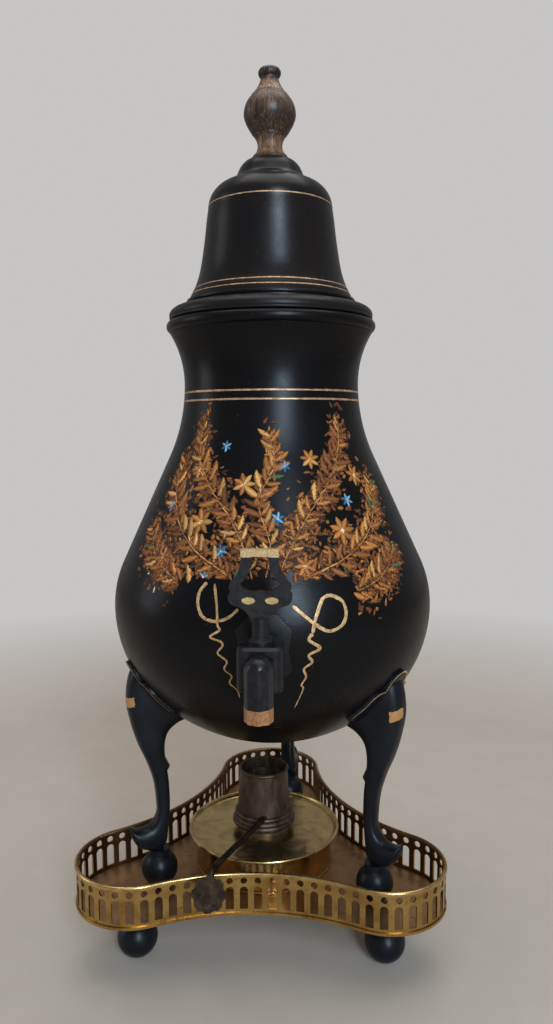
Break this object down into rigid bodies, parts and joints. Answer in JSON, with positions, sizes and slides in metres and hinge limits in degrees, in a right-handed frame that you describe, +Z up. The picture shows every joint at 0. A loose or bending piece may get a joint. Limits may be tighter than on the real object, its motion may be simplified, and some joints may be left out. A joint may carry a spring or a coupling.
{
  "type": "coffee urn",
  "caption": "Black lacquered coffee urn on cabriole legs, with a front tap and a lift-off bell lid, standing in a pierced brass trefoil tray over a spirit burner.",
  "frame": {"origin": "on the table, under the middle of the whole object's bounding box", "axes": "+Z up, the tap points along -Y, +X to the right of someone facing the tap"},
  "size_m": [0.1868, 0.227, 0.4472],
  "materials": {
    "black_lacquer": "satin black lacquer on sheet brass and cast legs",
    "tap_lacquer": "satin black paint over cast brass, gilt on edges",
    "gallery_brass": "polished, a little tarnished",
    "tray_brass": "tarnished to brown",
    "dish_brass": "pale, dull polish",
    "dark_bronze": "browned by heat",
    "turned_wood": "stained and varnished",
    "wick_cotton": "matt",
    "seal_rubber": "matt",
    "fastener_brass": "dull"
  },
  "bodies": {
    "tray": {"tray_floor": "tray_brass", "tray_gallery": "gallery_brass", "gallery_rim": "gallery_brass", "gallery_base_wire": "gallery_brass", "tray_foot_back": "black_lacquer", "tray_foot_left": "black_lacquer", "tray_foot_right": "black_lacquer", "tray_foot_screws": "fastener_brass"},
    "urn": {"urn_bowl": "black_lacquer", "urn_shoulder": "black_lacquer", "urn_neck": "black_lacquer", "leg_back": "black_lacquer", "leg_front_left": "black_lacquer", "leg_front_right": "black_lacquer", "foot_ball_back": "black_lacquer", "foot_ball_front_left": "black_lacquer", "foot_ball_front_right": "black_lacquer", "tap_plate": "tap_lacquer", "tap_body": "tap_lacquer", "tap_seal": "seal_rubber", "tap_nut": "fastener_brass"},
    "lid": {"lid_bell": "black_lacquer", "lid_flange": "black_lacquer", "lid_collar": "black_lacquer", "lid_finial": "turned_wood", "finial_washer": "fastener_brass", "finial_screw": "fastener_brass"},
    "key": {"tap_key": "tap_lacquer", "plug_washer": "fastener_brass", "plug_nut": "fastener_brass"},
    "burner": {"burner_base": "tray_brass", "burner_drum": "tray_brass", "burner_dish": "dish_brass", "wick_tube": "dark_bronze"},
    "regulator": {"regulator_sleeve": "dark_bronze", "lever_rod": "dark_bronze", "lever_disc": "dark_bronze"},
    "wick_lift": {"wick_holder": "dark_bronze", "wick": "wick_cotton"}
  },
  "joints": [
    {"name": "urn_lifts_off", "type": "slide", "parent": "tray", "child": "urn", "axis": [0, 0, 1], "range_m": [0, 0.12]},
    {"name": "lid_lifts_off", "type": "slide", "parent": "urn", "child": "lid", "axis": [0, 0, 1], "range_m": [0, 0.06]},
    {"name": "key_turns", "type": "hinge", "parent": "urn", "child": "key", "pos_m": [0.0055, -0.0937, 0.173], "axis": [0, 0, 1], "continuous": true},
    {"name": "burner_lifts", "type": "slide", "parent": "tray", "child": "burner", "axis": [0, 0, 1], "range_m": [0, 0.018]},
    {"name": "sleeve_turns", "type": "hinge", "parent": "burner", "child": "regulator", "pos_m": [0, 0.0103, 0.0548], "axis": [0, 0, 1], "range_deg": [0, 36]},
    {"name": "wick_rises", "type": "slide", "parent": "burner", "child": "wick_lift", "axis": [0, 0, 1], "range_m": [0, 0.005]}
  ],
  "couplings": [
    {"joint": "wick_rises", "follows": "sleeve_turns", "m_per_rad": 0.00795}
  ]
}
